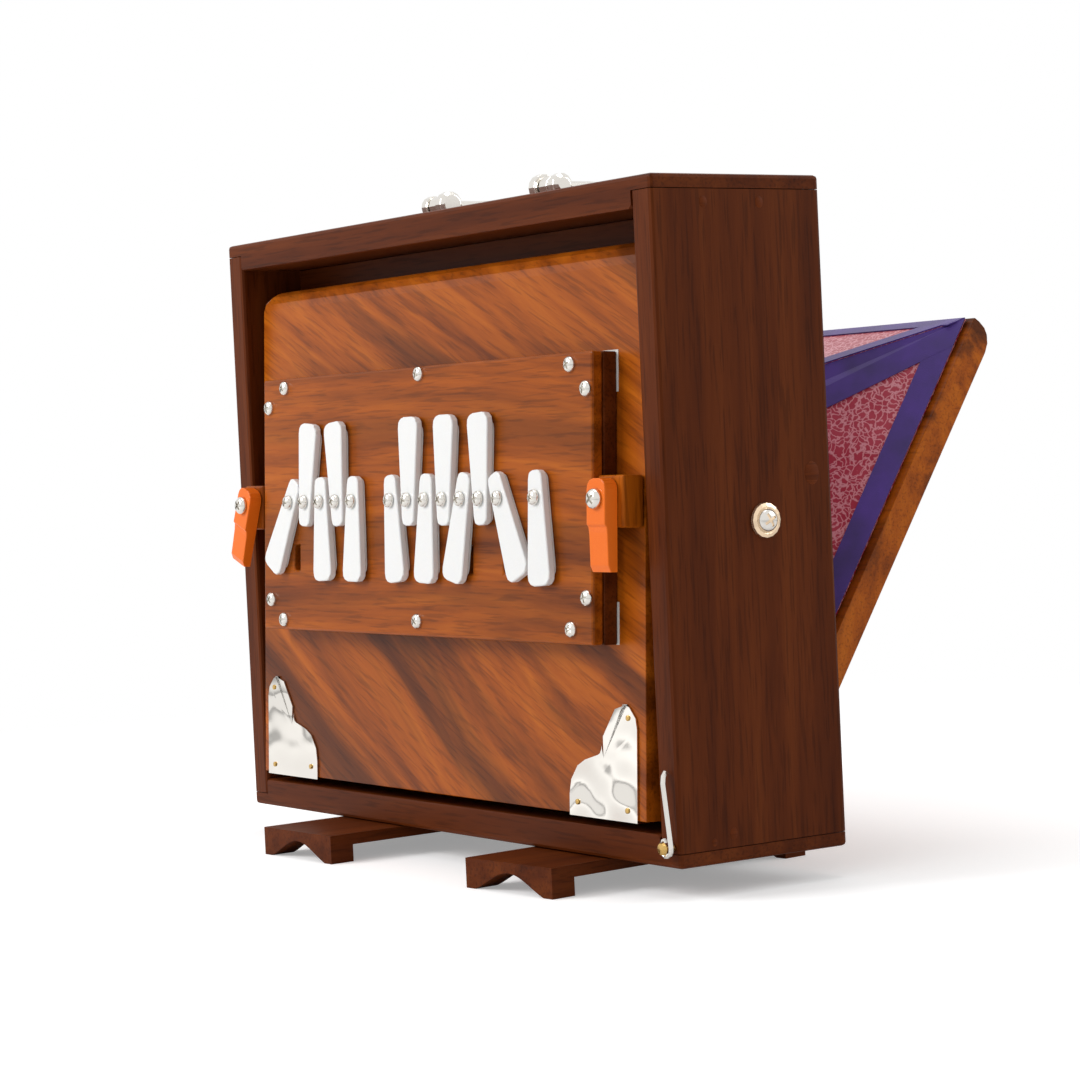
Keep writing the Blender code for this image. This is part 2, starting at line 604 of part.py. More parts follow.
def make_feeder_bellows(paper, holder, mirror):
    """Half of the bellows: a top rib, two side ribs and the gussets between them.

    It is drawn on the board's plane, with the ribs leaning into the bellows on the -y side. The
    mirrored half is the one fixed to the divider.
    """
    half_open = math.radians(FEEDER_OPEN / 2)
    top_lean = math.asin(FEEDER_HEIGHT * math.sin(half_open) / RIB_WIDTH) - half_open
    side_share = RIB_WIDTH / (FEEDER_HEIGHT - RIB_WIDTH)
    side_lean = math.asin(math.tan(half_open) / side_share)
    width = RIB_WIDTH - RIB_SHORT
    top = FEEDER_HEIGHT - 1.0
    away = 1 if mirror else -1
    lift = away * (RIB_THICK / 2 + GAP)
    points, faces = [], []
    for sign in (-1, 1):
        start = len(points)
        points += [(sign * BELLOWS_HALF, lift, 4.0),
                   (sign * BELLOWS_HALF, lift, top),
                   (sign * (BELLOWS_HALF - width * math.cos(side_lean)), lift + away * width * math.sin(side_lean),
                    top - RIB_WIDTH),
                   (sign * (BELLOWS_HALF - width), lift + away * width * math.sin(top_lean),
                    top - width * math.cos(top_lean))]
        faces += [(start, start + 1, start + 2), (start + 1, start + 3, start + 2)]
    faces.append((1, 5, 7, 3))
    name = "feeder_bellows_front" if mirror else "feeder_bellows_rear"
    thick_sheet(name, points, faces, paper, holder, RIB_THICK)


def make_reservoir_bellows(paper, steel, leather, root):
    """A folded ring between the divider and the front board, its spring and the valve flap."""
    slope = math.tan(math.radians(LEAN))
    back_y = FRONT_FACE_Y + BOARD / math.cos(math.radians(LEAN))
    points = []
    for inset, share in ((0, 0.0), (RESERVOIR_FOLD, 0.5), (0, 1.0)):
        for x, z in rectangle(-RESERVOIR_HALF + inset, RESERVOIR_HALF - inset,
                              RESERVOIR_LOW + inset, RESERVOIR_HIGH - inset):
            front = back_y + (z - FRONT_BOTTOM) * slope + 2 * GAP
            back = DIVIDER_FRONT - 2 * GAP
            points.append((x, front + (back - front) * share, z))
    faces = [(ring + corner, ring + (corner + 1) % 4, ring + 4 + (corner + 1) % 4, ring + 4 + corner)
             for ring in (0, 4) for corner in range(4)]
    thick_sheet("reservoir_bellows", points, faces, paper, root, RIB_THICK)
    low, high, width = 45.0, 90.0, 8.0
    leg_y = back_y + (high - FRONT_BOTTOM) * slope + 2.0
    rows = [(leg_y, high), (leg_y + 4.0, low), (DIVIDER_FRONT - 2.0, high)]
    spring = [(sign * width, y, z) for y, z in rows for sign in (-1, 1)]
    thick_sheet("reservoir_spring", spring, [(0, 1, 3, 2), (2, 3, 5, 4)], steel, root, 1.0)
    add_object("transfer_valve_flap", valve_flap(DIVIDER_FRONT - GAP - FLAP_THICK, PORT_HEIGHT), leather, root)


for old in list(bpy.data.objects):
    bpy.data.objects.remove(old, do_unlink=True)

dark_wood = finish_material("dark_wood", (84, 36, 14), 0.45)
warm_wood = finish_material("warm_wood", (146, 72, 18), 0.35)
white_plastic = finish_material("white_plastic", (240, 238, 234), 0.25)
orange_lacquer = finish_material("orange_lacquer", (240, 112, 30), 0.4)
nickel_plate = finish_material("nickel_plate", (214, 210, 202), 0.12, 1.0)
brass_metal = finish_material("brass_metal", (196, 150, 74), 0.3, 1.0)
valve_leather = finish_material("valve_leather", (150, 120, 90), 0.8)
crackle_paper = finish_material("crackle_paper", (176, 34, 62), 0.5)

case_frame = empty_frame("case_frame", (0, -PLAN_CENTRE_Y, FOOT_HEIGHT))
lean = math.radians(LEAN)
front_hinge = (0, FRONT_FACE_Y + BOARD * math.cos(lean), FRONT_BOTTOM - BOARD * math.sin(lean))
reservoir_frame = empty_frame("reservoir_hinge", front_hinge, (-LEAN, 0, 0), case_frame)
feeder_frame = empty_frame("feeder_hinge", (0, FEEDER_Y, BOARD), (-FEEDER_OPEN, 0, 0), case_frame)
divider_frame = empty_frame("divider_plane", (0, FEEDER_Y, BOARD), parent=case_frame)

make_case(dark_wood, warm_wood, nickel_plate, case_frame)
make_feet(dark_wood, case_frame)
make_handle(nickel_plate, case_frame)
make_hook(nickel_plate, brass_metal, case_frame)
make_reservoir(warm_wood, nickel_plate, reservoir_frame)
make_key_box(warm_wood, brass_metal, reservoir_frame)
make_keys(white_plastic, nickel_plate, reservoir_frame)
make_turn_buttons(warm_wood, orange_lacquer, nickel_plate, reservoir_frame)
make_feeder(warm_wood, valve_leather, feeder_frame)
make_feeder_bellows(crackle_paper, feeder_frame, False)
make_feeder_bellows(crackle_paper, divider_frame, True)
make_reservoir_bellows(crackle_paper, nickel_plate, valve_leather, case_frame)
bpy.context.view_layer.update()
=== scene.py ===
import json
import math

import bmesh
import bpy
from mathutils import Matrix, Vector


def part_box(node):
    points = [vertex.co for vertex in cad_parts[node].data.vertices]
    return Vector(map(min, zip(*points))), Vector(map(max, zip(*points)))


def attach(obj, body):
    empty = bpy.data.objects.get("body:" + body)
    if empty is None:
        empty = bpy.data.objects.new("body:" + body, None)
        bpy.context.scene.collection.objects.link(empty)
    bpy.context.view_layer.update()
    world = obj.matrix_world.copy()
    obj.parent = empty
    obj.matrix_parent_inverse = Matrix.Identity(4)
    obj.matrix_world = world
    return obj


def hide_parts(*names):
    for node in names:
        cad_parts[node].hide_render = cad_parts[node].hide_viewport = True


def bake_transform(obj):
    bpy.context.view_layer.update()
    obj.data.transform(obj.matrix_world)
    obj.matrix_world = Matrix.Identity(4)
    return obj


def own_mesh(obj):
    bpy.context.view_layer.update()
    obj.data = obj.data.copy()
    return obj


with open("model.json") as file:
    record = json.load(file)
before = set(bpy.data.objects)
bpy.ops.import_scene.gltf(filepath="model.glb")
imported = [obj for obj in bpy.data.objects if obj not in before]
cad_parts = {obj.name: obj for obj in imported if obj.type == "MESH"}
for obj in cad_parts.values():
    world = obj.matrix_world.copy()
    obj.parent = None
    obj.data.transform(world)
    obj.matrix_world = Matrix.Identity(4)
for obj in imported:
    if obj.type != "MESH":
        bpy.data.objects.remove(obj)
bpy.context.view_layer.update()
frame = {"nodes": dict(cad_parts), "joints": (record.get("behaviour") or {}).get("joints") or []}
nodes = frame["nodes"]
joints = {joint["name"]: joint for joint in frame["joints"]}
MM = 0.001

# The case: four oiled boards, 12 mm thick. The top and bottom boards run over the ends of the sides
# as thin tongues, and the screws through the sides are hidden under small wood plugs.
# The grain stands upright in the sides and runs across in the top and bottom.
SIDES = ((-1, "left"), (1, "right"))
CASE_WOOD = ((0.060, 0.0115, 0.0020), (0.094, 0.0190, 0.0030), (0.134, 0.0300, 0.0050))
# Solids round their edges above the first angle, and new pieces shade smooth below the second.
BEVEL_ABOVE, SMOOTH_BELOW = math.radians(28), math.radians(38)
# The outer face of the right side, the front edge of the case and its underside.
case_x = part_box("case_right_side")[1].x
case_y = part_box("case_right_side")[0].y
case_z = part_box("case_bottom_board")[0].z


def feed(tree, socket, value):
    """Link a socket to a value that is another node's output, or else set it to the value."""
    if isinstance(value, bpy.types.NodeSocket):
        tree.links.new(value, socket)
    else:
        socket.default_value = value


def add_node(tree, kind, **values):
    """A shader node. Each value goes to the input, or else the setting, of its name."""
    made = tree.nodes.new(kind)
    for name, value in values.items():
        if name in made.inputs:
            feed(tree, made.inputs[name], value)
        else:
            setattr(made, name, value)
    return made


def new_material(name, roughness, metallic=0.0, coat=0.0):
    """A new material, with its node tree and its shader."""
    made = bpy.data.materials.new(name)
    made.use_nodes = True
    shader = made.node_tree.nodes["Principled BSDF"]
    shader.inputs["Roughness"].default_value = roughness
    shader.inputs["Metallic"].default_value = metallic
    shader.inputs["Coat Weight"].default_value = coat
    shader.inputs["Coat Roughness"].default_value = 0.12
    return made, made.node_tree, shader


def object_place(tree):
    """Where a point of the surface is on its own object, in metres."""
    return add_node(tree, "ShaderNodeTexCoord").outputs["Object"]


def mapped(tree, place, **values):
    """A place that is moved, turned or stretched before a pattern reads it."""
    return add_node(tree, "ShaderNodeMapping", Vector=place, **values).outputs["Vector"]


def noise(tree, place, **values):
    """The outputs of a soft random pattern that is read at a place."""
    return add_node(tree, "ShaderNodeTexNoise", Vector=place, **values).outputs


def ramp(tree, source, *stops):
    """The colour that the source picks. Each stop is a place from 0 to 1 and its colour."""
    made = add_node(tree, "ShaderNodeValToRGB", Fac=source)
    elements = made.color_ramp.elements
    elements[0].position = stops[0][0]
    elements[1].position = stops[-1][0]
    for position, colour in stops[1:-1]:
        elements.new(position)
    for element, (position, colour) in zip(elements, stops):
        element.color = (*colour, 1.0)
    return made.outputs["Color"]


# The mix node's sockets for colours share their names with others, so they go by number.
MIX_SHARE, MIX_UNDER, MIX_OVER, MIX_RESULT = 0, 6, 7, 2


def mix_colours(tree, way, share, under, over):
    """A share of one colour laid over another, in one of the mix node's ways."""
    made = add_node(tree, "ShaderNodeMix", data_type="RGBA", blend_type=way)
    for number, value in ((MIX_SHARE, share), (MIX_UNDER, under), (MIX_OVER, over)):
        feed(tree, made.inputs[number], value)
    return made.outputs[MIX_RESULT]


def add_bump(tree, shader, height, strength, distance):
    """Let a pattern stand out of the surface in the light, without a change of shape."""
    bump = add_node(tree, "ShaderNodeBump", Height=height, Strength=strength, Distance=distance)
    tree.links.new(bump.outputs["Normal"], shader.inputs["Normal"])


def wood(name, tones, along, figure=0.0, bend=0.35, seed=0.0, roughness=0.42, sheen=0.07, tilt=0.0):
    """Timber with fine pores, soft bands and, where figure is above 0, dark wandering streaks."""
    made, tree, shader = new_material(name, roughness)
    shader.inputs["Specular IOR Level"].default_value = sheen
    turn = {"X": (0.0, tilt, math.pi / 2), "Y": (0.0, 0.0, tilt), "Z": (math.pi / 2, 0.0, tilt)}[along]
    grain = mapped(tree, object_place(tree), Rotation=turn, Location=(seed, seed * 0.7, seed * 0.3))
    wandering = grain
    for scale, reach in ((4.0, 0.070), (18.0, 0.004)):
        sway = noise(tree, mapped(tree, wandering, Scale=(1.0, 0.5, 1.0)), Scale=scale, Detail=1.0)
        wandering = mix_colours(tree, "LINEAR_LIGHT", reach * bend, wandering, sway["Color"])
    drawn_out = mapped(tree, wandering, Scale=(1.0, 0.035, 1.0))
    bands = noise(tree, drawn_out, Scale=95.0, Detail=7.0, Roughness=0.62)
    surface = ramp(tree, bands["Fac"], *zip((0.30, 0.50, 0.72), tones))
    if figure:
        streaks = noise(tree, drawn_out, Scale=26.0, Detail=5.0, Roughness=0.55)
        share = ramp(tree, streaks["Fac"], (0.50, (0.0, 0.0, 0.0)), (0.60, (figure, figure, figure)))
        streak_tone = (*[channel * 0.30 for channel in tones[0]], 1.0)
        surface = mix_colours(tree, "MIX", share, surface, streak_tone)
    pores = noise(tree, mapped(tree, grain, Scale=(1.0, 0.05, 1.0)), Scale=900.0, Detail=2.0)["Fac"]
    pitted = ramp(tree, pores, (0.36, (0.72, 0.72, 0.72)), (0.47, (1.0, 1.0, 1.0)))
    tree.links.new(mix_colours(tree, "MULTIPLY", 1.0, surface, pitted), shader.inputs["Base Color"])
    add_bump(tree, shader, pores, strength=0.12, distance=0.0003)
    return made


def dress(node, material, edge=0.0):
    """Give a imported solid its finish, and round its sharp edges where a width is stated."""
    piece = nodes[node]
    piece.data.materials.clear()
    piece.data.materials.append(material)
    if edge:
        piece.modifiers.new("weld", "WELD").merge_threshold = 0.02 * MM
        bevel = piece.modifiers.new("edge", "BEVEL")
        bevel.width = edge * MM
        bevel.segments = 2
        bevel.limit_method = "ANGLE"
        bevel.angle_limit = BEVEL_ABOVE
        piece.modifiers.new("flat_faces", "WEIGHTED_NORMAL").keep_sharp = True


def new_object(name, bm):
    """An object in the scene whose mesh is taken from a bmesh, which is freed."""
    mesh = bpy.data.meshes.new(name)
    bm.to_mesh(mesh)
    bm.free()
    made = bpy.data.objects.new(name, mesh)
    bpy.context.scene.collection.objects.link(made)
    return made


def settle(name, bm, material, body, place=None):
    """A new piece: its place goes into its mesh, and it rides on its body."""
    if place is not None:
        bmesh.ops.transform(bm, matrix=place, verts=bm.verts)
    bmesh.ops.recalc_face_normals(bm, faces=bm.faces)
    piece = new_object(name, bm)
    piece.data.shade_smooth()
    piece.data.set_sharp_from_angle(angle=SMOOTH_BELOW)
    piece.data.materials.append(material)
    if body:
        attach(piece, body)
    return piece


# The share of a disc's rise that its softened rim takes up.
RIM_SHARE = 0.4


def disc(radius, rise, segments=20):
    """A flat round piece with a softened rim, standing along +z from z = 0."""
    bm = bmesh.new()
    bmesh.ops.create_cone(bm, cap_ends=True, segments=segments, radius1=radius * MM, radius2=radius * MM,
                          depth=rise * MM)
    bmesh.ops.translate(bm, vec=(0, 0, rise * MM / 2), verts=bm.verts)
    rim = [edge for edge in bm.edges if all(vert.co.z > rise * MM / 2 for vert in edge.verts)]
    bmesh.ops.bevel(bm, geom=rim, offset=rise * RIM_SHARE * MM, segments=2, affect="EDGES", profile=0.5,
                    material=-1)
    return bm


def on_side(sign, out, y, z):
    """A place on a side of the case, out from it in mm, with +z pointing out."""
    spot = Matrix.Translation((sign * (case_x + out * MM), y, z))
    return spot @ Matrix.Rotation(sign * math.pi / 2, 4, "Y")


side_wood = wood("case_side_wood", CASE_WOOD, "Z", seed=0.31)
rail_wood = wood("case_rail_wood", CASE_WOOD, "X", seed=0.87)
for node in ("case_left_side", "case_right_side"):
    dress(node, side_wood)
for node in ("case_top_board", "case_bottom_board"):
    dress(node, rail_wood)
# Each plug's distance from the front of the case, its height and its radius, in mm.
SIDE_PLUGS = ((69.4, 142.0, 3.4), (23.8, 243.6, 1.7), (49.9, 243.6, 1.7), (15.9, 8.4, 1.2), (24.9, 10.6, 1.7))
PLUG_RISE, PLUG_OVAL, PLUG_PALER = 0.08, 1.3, 1.25
plug_tones = [[channel * PLUG_PALER for channel in tone] for tone in CASE_WOOD]
plug_wood = wood("plug_wood", plug_tones, "Y", seed=0.5)
oval = Matrix.Diagonal((PLUG_OVAL, 1.0, 1.0, 1.0))
for sign, side in SIDES:
    for number, (back, height, radius) in enumerate(SIDE_PLUGS, start=1):
        place = on_side(sign, 0.0, case_y + back * MM, case_z + height * MM) @ oval
        settle(f"wood_plug_{side}_{number}", disc(radius, PLUG_RISE), plug_wood, "root", place)

# The divider is the wall between the two bellows. Only its edge shows, above the front board.
# Soft leather flaps close its ports and the feeder board's, and are out of sight.
dress("divider_board", wood("divider_wood", CASE_WOOD, "X", seed=1.7))


def mottled(tree, scale, detail, dark, light, start=0.0, end=1.0):
    """The colour of a finish that drifts between two close tones."""
    drift = noise(tree, object_place(tree), Scale=scale, Detail=detail)
    return ramp(tree, drift["Fac"], (start, dark), (end, light))


leather, tree, shader = new_material("valve_leather", roughness=0.8)
hide = mottled(tree, scale=3000.0, detail=3.0, dark=(0.20, 0.12, 0.06), light=(0.42, 0.28, 0.16))
tree.links.new(hide, shader.inputs["Base Color"])
for node in ("transfer_valve_flap", "intake_valve_flap"):
    dress(node, leather)


# Screws in cup washers hold the divider from both sides of the case. Both are bright nickel.
# The cup is turned, with a rolled rim, and the screw's domed head sits in it.
def metal(name, colour, roughness, wear=0.08):
    """Plated or plain metal with faint handling marks in its roughness."""
    made, tree, shader = new_material(name, roughness, metallic=1.0)
    shader.inputs["Base Color"].default_value = (*colour, 1.0)
    marks = noise(tree, object_place(tree), Scale=220.0, Detail=5.0, Roughness=0.7)
    spread = add_node(tree, "ShaderNodeMapRange", Value=marks["Fac"])
    spread.inputs["To Min"].default_value = roughness - wear / 2
    spread.inputs["To Max"].default_value = roughness + wear
    tree.links.new(spread.outputs["Result"], shader.inputs["Roughness"])
    return made


nickel = metal("bright_nickel", (0.74, 0.71, 0.66), roughness=0.16)
washer_nickel = metal("washer_nickel", (0.86, 0.66, 0.46), roughness=0.24)
TOUCHING = 0.001 * MM
# A head's outline, then its slots' length, width and middle height, all as shares of radius and dome.
HEAD_OUTLINE = ((0.0, 0.0), (1.0, 0.0), (1.0, 0.28), (0.93, 0.56), (0.72, 0.84), (0.4, 0.97), (0.0, 1.0))
SLOT_LENGTH, SLOT_WIDTH, SLOT_MIDDLE = 1.24, 0.24, 1.05


def cross_screw(radius, dome):
    """A pan head with a cross recess, standing along +z from z = 0."""
    bm = bmesh.new()
    spots = [bm.verts.new((radius * out * MM, 0, dome * up * MM)) for out, up in HEAD_OUTLINE]
    edges = [bm.edges.new(pair) for pair in zip(spots, spots[1:])]
    bmesh.ops.spin(bm, geom=spots + edges, cent=(0, 0, 0), axis=(0, 0, 1), angle=math.tau, steps=20,
                   use_merge=True)
    bmesh.ops.remove_doubles(bm, verts=bm.verts, dist=TOUCHING)
    bmesh.ops.recalc_face_normals(bm, faces=bm.faces)
    blank = new_object("screw_blank", bm)
    cutters = []
    for turn in (0.0, math.pi / 2):
        bar = bmesh.new()
        bmesh.ops.create_cube(bar, size=1)
        size = Vector((radius * SLOT_LENGTH, radius * SLOT_WIDTH, dome)) * MM
        bmesh.ops.scale(bar, vec=size, verts=bar.verts)
        bmesh.ops.rotate(bar, cent=(0, 0, 0), matrix=Matrix.Rotation(turn, 3, "Z"), verts=bar.verts)
        bmesh.ops.translate(bar, vec=(0, 0, dome * SLOT_MIDDLE * MM), verts=bar.verts)
        cutters.append(new_object("screw_slot", bar))
        blank.modifiers.new("slot", "BOOLEAN").object = cutters[-1]
    bpy.context.view_layer.update()
    cut = bpy.data.meshes.new_from_object(blank.evaluated_get(bpy.context.evaluated_depsgraph_get()))
    for spent in [blank] + cutters:
        bpy.data.objects.remove(spent)
    return cut


def fit_screw(name, head, place, turn, body, replaced=()):
    """A copy of a screw head, turned about its own axis and set in place."""
    bm = bmesh.new()
    bm.from_mesh(head)
    screw = settle(name, bm, nickel, body, place @ Matrix.Rotation(turn, 4, "Z"))
    if replaced:
        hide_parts(*replaced)


SIDE_HEAD_OUT, SIDE_HEAD_TURN = 0.9, 0.5
side_head = cross_screw(radius=4.4, dome=2.9)
for sign, side in SIDES:
    dress(f"cup_washer_screw_{side}", washer_nickel)
    low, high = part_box(f"cup_washer_screw_{side}")
    middle = (low + high) / 2
    place = on_side(sign, SIDE_HEAD_OUT, middle.y, middle.z)
    fit_screw(f"side_screw_{side}", side_head, place, SIDE_HEAD_TURN, "root")

# The front board is the reservoir's moving wall: warm figured hardwood under varnish, leaning back
# on a hinge at its foot, with its top edge worked to a large round and its top corners rounded.
FRONT_WOOD = ((0.150, 0.0290, 0.0020), (0.335, 0.073, 0.0032), (0.465, 0.118, 0.0058))
BOARD = 12.0
hinge = Vector(joints["reservoir_swing"]["pos_m"])
lean = math.asin(Vector(joints["turn_button_right_swing"]["axis"]).z)
front_wood = wood("front_board_wood", FRONT_WOOD, "X", figure=0.72, bend=1.2, seed=2.13, roughness=0.3,
                  sheen=0.16, tilt=-0.42)
dress("reservoir_board", front_wood, edge=1.6)


def on_board(x, out, up):
    """A place on the leaning board: out from its face and up from its foot, in mm, +z pointing out."""
    lying = Matrix.Rotation(-lean, 4, "X")
    spot = lying @ Vector((x * MM, -(BOARD + out) * MM, up * MM)) + hinge
    return Matrix.Translation(spot) @ lying @ Matrix.Rotation(math.pi / 2, 4, "X")


def pivot_on_board(name):
    """How far a turning piece's pivot is across the board and up from its foot, in mm."""
    pivot = Vector(joints[f"{name}_swing"]["pos_m"])
    return pivot.x / MM, (pivot - hinge).dot(Vector((0, math.sin(lean), math.cos(lean)))) / MM


# Nickel plates guard the board's bottom corners. Each is cut to two lobes from thin bright sheet,
# folded under the board and pinned with three small brass pins.
brass = metal("plain_brass", (0.62, 0.40, 0.13), roughness=0.25)
mirror_nickel = metal("mirror_nickel", (0.80, 0.765, 0.71), roughness=0.06, wear=0.03)
tree = mirror_nickel.node_tree
ripple = noise(tree, object_place(tree), Scale=38.0, Detail=1.0)
add_bump(tree, tree.nodes["Principled BSDF"], ripple["Fac"], strength=0.8, distance=0.004)
# How far the plates start from the middle and stand out, and each pin's place on its plate, in mm.
PLATE_INNER, PLATE_OUT = 97.5, 0.95
PINS = ((38.5, 38.0), (5.5, 4.5), (38.0, 3.5))
for sign, side in SIDES:
    dress(f"corner_plate_{side}", mirror_nickel)
    for number, (along, up) in enumerate(PINS, start=1):
        pin = disc(radius=1.1, rise=0.5, segments=12)
        place = on_board(sign * (PLATE_INNER + along), PLATE_OUT, up)
        settle(f"corner_pin_{side}_{number}", pin, brass, "reservoir", place)

# The key box: a frame of the dark wood and a thick face of the front board's, screwed to the board
# over a white paper gasket. The face has one air slot for each reed, and the brass reed plate sits
# behind it.
BOX_LEFT, BOX_RIGHT, BOX_LOW, BOX_HIGH, BOX_OUT = -125.2, 128.6, 65.0, 174.6, 11.6
BOX_SCREWS = ((-105.6, 170.4), (-119.6, 162.2), (6.3, 171.5), (114.4, 170.1), (125.0, 160.6), (-117.8, 77.9),
              (-106.7, 69.3), (4.5, 71.1), (125.2, 82.6), (114.9, 70.6))
# Each screw stops at its own angle, turned by this much more than the one before.
BOX_SCREW_GAP, BOX_SCREW_TURN = 0.02, 0.9
box_wood = wood("key_box_wood", FRONT_WOOD, "X", figure=0.5, bend=0.7, seed=4.4, roughness=0.3, sheen=0.14)
dress("key_box_face", box_wood, edge=0.9)
dress("key_box_frame", wood("key_box_frame_wood", CASE_WOOD, "X", seed=3.1), edge=0.5)
dress("reed_plate", brass)
gasket_paper, tree, shader = new_material("gasket_paper", roughness=0.7)
fibres = mottled(tree, scale=3600.0, detail=4.0, dark=(0.55, 0.53, 0.50), light=(0.80, 0.79, 0.76))
tree.links.new(fibres, shader.inputs["Base Color"])
# The sheet is a little smaller than the box, and two flaps at its right corners reach past the edge.
GASKET_INSET, GASKET_THICK, GASKET_OUT = 1.0, 0.2, 0.14
FLAP_LEFT, FLAP_RIGHT = BOX_RIGHT - 9.0, BOX_RIGHT + 0.9
LOW_FLAP_TOP = BOX_LOW + 16.0
HIGH_FLAP_FOOT, HIGH_FLAP_TOP = BOX_HIGH - 15.0, BOX_HIGH + 0.7
GASKET_PARTS = ((BOX_LEFT + GASKET_INSET, BOX_LOW + GASKET_INSET,
                 BOX_RIGHT - GASKET_INSET, BOX_HIGH - GASKET_INSET),
                (FLAP_LEFT, BOX_LOW, FLAP_RIGHT, LOW_FLAP_TOP),
                (FLAP_LEFT, HIGH_FLAP_FOOT, FLAP_RIGHT, HIGH_FLAP_TOP))


def add_block(bm, low, high):
    """A block between two opposite corners, in mm."""
    low, high = Vector(low), Vector(high)
    block = bmesh.ops.create_cube(bm, size=1)["verts"]
    bmesh.ops.scale(bm, vec=(high - low) * MM, verts=block)
    bmesh.ops.translate(bm, vec=(low + high) / 2 * MM, verts=block)


gasket = bmesh.new()
for left, foot, right, top in GASKET_PARTS:
    add_block(gasket, (left, foot, -GASKET_THICK / 2), (right, top, GASKET_THICK / 2))
settle("key_box_gasket", gasket, gasket_paper, "reservoir", on_board(0, GASKET_OUT, 0))
box_head = cross_screw(radius=3.1, dome=2.1)
for number, (x, up) in enumerate(BOX_SCREWS, start=1):
    place = on_board(x, BOX_OUT + BOX_SCREW_GAP, up)
    fit_screw(f"key_box_screw_{number:02d}", box_head, place, number * BOX_SCREW_TURN, "reservoir")

# Thirteen tabs of glossy white plastic cover the air slots. Each turns on a cross-head screw, and
# a thin pale pad under it seals the slot. Each was left hanging at its own angle.
TAB_BACK, TAB_THICK = 12.6, 3.0
TAB_SCREW_GAP, TAB_SCREW_TURN = 0.3, 1.3
PAD_SHARE, PAD_THICK_SHARE, PAD_GAP = 0.92, 0.28, 0.03
tab_white, tree, shader = new_material("tab_plastic", roughness=0.22, coat=0.4)
shader.inputs["Subsurface Weight"].default_value = 0.08
shader.inputs["Subsurface Radius"].default_value = (0.004, 0.003, 0.002)
clouding = mottled(tree, scale=2200.0, detail=3.0, dark=(0.72, 0.72, 0.71), light=(0.80, 0.80, 0.79))
tree.links.new(clouding, shader.inputs["Base Color"])
key_head = cross_screw(radius=3.0, dome=2.2)
thinned = Matrix.Diagonal((PAD_SHARE, PAD_SHARE, -PAD_THICK_SHARE, 1.0))
for number in range(1, 14):
    tab = f"key_tab_{number:02d}"
    dress(tab, tab_white, edge=0.45)
    x, up = pivot_on_board(tab)
    place = on_board(x, TAB_BACK + TAB_THICK + TAB_SCREW_GAP, up)
    fit_screw(f"key_cross_screw_{number:02d}", key_head, place, number * TAB_SCREW_TURN, "reservoir",
              [f"key_screw_{number:02d}"])
    pad = bmesh.new()
    pad.from_mesh(nodes[tab].data)
    bmesh.ops.remove_doubles(pad, verts=pad.verts, dist=TOUCHING)
    tab_back = on_board(x, TAB_BACK, up)
    bmesh.ops.transform(pad, matrix=thinned @ tab_back.inverted(), verts=pad.verts)
    bmesh.ops.translate(pad, vec=(0, 0, -PAD_GAP * MM), verts=pad.verts)
    settle(f"key_pad_{number:02d}", pad, gasket_paper, tab, tab_back)

# A turn-button at each side of the key box: a lever in orange lacquer, thick at its head and thinner
# towards its tip, on a wood block that is glued to the board.
BUTTON_OUT, BUTTON_SCREW_TURN = 16.4, 0.7
orange, tree, shader = new_material("orange_lacquer", roughness=0.32, coat=0.04)
shader.inputs["Specular IOR Level"].default_value = 0.2
lacquer = mottled(tree, scale=3400.0, detail=4.0, dark=(0.74, 0.115, 0.006), light=(0.84, 0.185, 0.012))
tree.links.new(lacquer, shader.inputs["Base Color"])
button_head = cross_screw(radius=3.9, dome=2.6)
for side in ("left", "right"):
    dress(f"latch_block_{side}", wood(f"latch_block_wood_{side}", FRONT_WOOD, "Z", seed=5.5), edge=0.3)
    dress(f"turn_button_{side}", orange, edge=0.5)
    x, up = pivot_on_board(f"turn_button_{side}")
    fit_screw(f"turn_button_cross_screw_{side}", button_head, on_board(x, BUTTON_OUT, up), BUTTON_SCREW_TURN,
              "reservoir", [f"turn_button_screw_{side}"])

# The hook is bent from bright wire, with a ring at one end. It swings on a small brass eye in the
# right stile and stands where friction leaves it.
dress("hook", nickel)
dress("hook_eye", brass)

# Two feet of the case wood swivel under the box, each on a screw that they hide. Each is a bench
# with an arch cut along it.
dress("foot_left", wood("foot_wood_left", CASE_WOOD, "Y", seed=6.1), edge=0.8)
dress("foot_right", wood("foot_wood_right", CASE_WOOD, "Y", seed=7.3), edge=0.8)

# The carrying handle is cast and nickel plated. Its bail swings between lugs on two posts, which
# are screwed to the top board.
for node in ("handle_bail", "handle_post_left", "handle_post_right"):
    dress(node, nickel, edge=0.3)

# The feeder board behind pumps the bellows. It is the same figured wood and is hinged at its foot,
# with its outer top edge rounded. It stands open as it was left.
feeder_wood = wood("feeder_board_wood", FRONT_WOOD, "X", figure=0.85, bend=1.8, seed=8.9, roughness=0.32,
                   sheen=0.14)
dress("feeder_board", feeder_wood, edge=0.8)

# The feeder bellows fold inwards. Stiff card ribs, covered in red crackle paper, stand along the top
# and both sides, joined at the corners by gussets and along every edge by purple cloth tape.
OPEN = math.radians(33.0)
# In mm, the ribs' height, half width and depth, and how far before the hinge the front half folds to.
HEIGHT, HALF, RIB, COLLAR = 223.0, 144.0, 80.0, 4.0
# The gaps under the ribs, next to their board and at their folds.
RIB_FOOT, RIB_OUT, FOLD_GAP = 5.0, 1.2, 2.0
CARD, CLOTH = 1.0, 0.5
# How far a gusset lies under the tape, and how far its own fold is tucked in and down.
GUSSET_SINK, GUSSET_IN, GUSSET_DROP = 0.6, 3.0, 6.0
# The tapes' widths on the sides, along the top, at the corners and at the folds.
TAPE, TOP_TAPE, MITRE_TAPE, FOLD_TAPE = 10.0, 7.0, 9.0, 5.4
